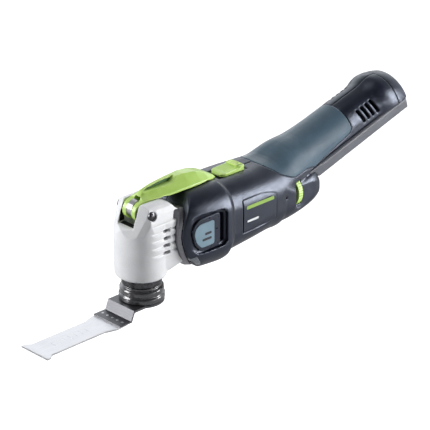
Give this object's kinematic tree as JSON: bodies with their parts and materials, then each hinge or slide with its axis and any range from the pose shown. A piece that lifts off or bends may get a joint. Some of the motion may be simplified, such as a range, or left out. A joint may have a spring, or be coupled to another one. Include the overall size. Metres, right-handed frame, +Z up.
{
  "type": "oscillating multi tool",
  "caption": "Cordless oscillating multi tool with gear head, quick-clamp lever, swinging saw blade, slide switch, speed dial and battery rail handle.",
  "frame": {"origin": "on the output spindle axis, at the accessory seat on the underside of the output hub", "axes": "+X from the spindle toward the rear of the handle, +Z up along the spindle axis, -Y is the operator's left side"},
  "size_m": [0.4186, 0.0706, 0.1338],
  "materials": {
    "housing_plastic": "fine textured",
    "grip_rubber": "soft matte",
    "sled_plastic": "fine textured",
    "head_paint": "satin",
    "ring_metal": "satin",
    "green_plastic": "satin",
    "tile_plastic": "satin",
    "lens": "clear",
    "steel": "ground",
    "blade_steel": "brushed",
    "black_metal": "gloss",
    "bearing_steel": "polished",
    "copper": "enamelled wire",
    "board": "solder resist",
    "brass_contact": "plated",
    "inner_plastic": "plain"
  },
  "bodies": {
    "tool_body": {"housing_left": "housing_plastic", "housing_right": "housing_plastic", "handle_end_cap": "housing_plastic", "badge_panel_left": "housing_plastic", "badge_panel_right": "housing_plastic", "label_plate_left": "housing_plastic", "label_plate_right": "housing_plastic", "soft_grip": "grip_rubber", "battery_sled": "sled_plastic", "gear_housing": "head_paint", "gearbox_ring": "ring_metal", "motor_end_shield": "ring_metal", "badge_tile_left": "tile_plastic", "badge_tile_right": "tile_plastic", "led_lens_left": "lens", "led_lens_right": "lens", "lever_pin": "steel", "end_cap_screws": "steel", "housing_screws": "steel", "neck_collar": "black_metal", "spindle_bearing_lower": "bearing_steel", "spindle_bearing_upper": "bearing_steel", "motor_bearing_front": "bearing_steel", "motor_bearing_rear": "bearing_steel", "motor_windings": "copper", "motor_stator": "ring_metal", "control_board": "board", "terminal_block": "inner_plastic", "terminal_blades": "brass_contact", "switch_module": "inner_plastic", "dial_sensor": "inner_plastic"},
    "output": {"output_hub": "black_metal", "hub_pin": "steel", "output_spindle": "steel", "swing_fork": "steel", "tool_bracket": "black_metal", "saw_blade": "blade_steel", "clamp_spring": "steel"},
    "rod": {"clamp_rod": "steel"},
    "jaw_front": {"clamp_jaw_front": "steel"},
    "jaw_rear": {"clamp_jaw_rear": "steel"},
    "lever": {"clamp_lever": "green_plastic", "lever_cam": "steel"},
    "switch": {"slide_switch": "green_plastic", "switch_carriage": "inner_plastic"},
    "dial": {"speed_dial": "green_plastic", "dial_shaft": "steel"},
    "rotor": {"rotor_shaft": "steel", "rotor_core": "ring_metal", "cooling_fan": "inner_plastic", "eccentric_bearing": "bearing_steel"}
  },
  "joints": [
    {"name": "spindle_swing", "type": "hinge", "parent": "tool_body", "child": "output", "pos_m": [0, 0, 0], "axis": [0, 0, 1], "range_deg": [-2, 2]},
    {"name": "clamp_lever_swing", "type": "hinge", "parent": "tool_body", "child": "lever", "pos_m": [-0.005, 0, 0.081], "axis": [0, -1, 0], "range_deg": [0, 130]},
    {"name": "clamp_rod_slide", "type": "slide", "parent": "output", "child": "rod", "axis": [0, 0, -1], "range_m": [0, 0.003], "deforming": ["clamp_spring"]},
    {"name": "jaw_front_tilt", "type": "hinge", "parent": "rod", "child": "jaw_front", "pos_m": [-0.0016, 0, 0.0042], "axis": [0, -1, 0], "range_deg": [0, 16]},
    {"name": "jaw_rear_tilt", "type": "hinge", "parent": "rod", "child": "jaw_rear", "pos_m": [0.0016, 0, 0.0042], "axis": [0, 1, 0], "range_deg": [0, 16]},
    {"name": "switch_slide", "type": "slide", "parent": "tool_body", "child": "switch", "axis": [-1, 0, 0], "range_m": [0, 0.0042]},
    {"name": "speed_dial_turn", "type": "hinge", "parent": "tool_body", "child": "dial", "pos_m": [0.1585, -0.016, 0.053], "axis": [1, 0, 0], "range_deg": [-140, 140]},
    {"name": "motor_spin", "type": "hinge", "parent": "tool_body", "child": "rotor", "pos_m": [0, 0, 0.047], "axis": [1, 0, 0], "continuous": true}
  ],
  "couplings": [
    {"joint": "clamp_rod_slide", "follows": "clamp_lever_swing", "m_per_rad": 0.0013221},
    {"joint": "jaw_front_tilt", "follows": "clamp_lever_swing", "ratio": 0.12307},
    {"joint": "jaw_rear_tilt", "follows": "clamp_lever_swing", "ratio": 0.12307}
  ]
}
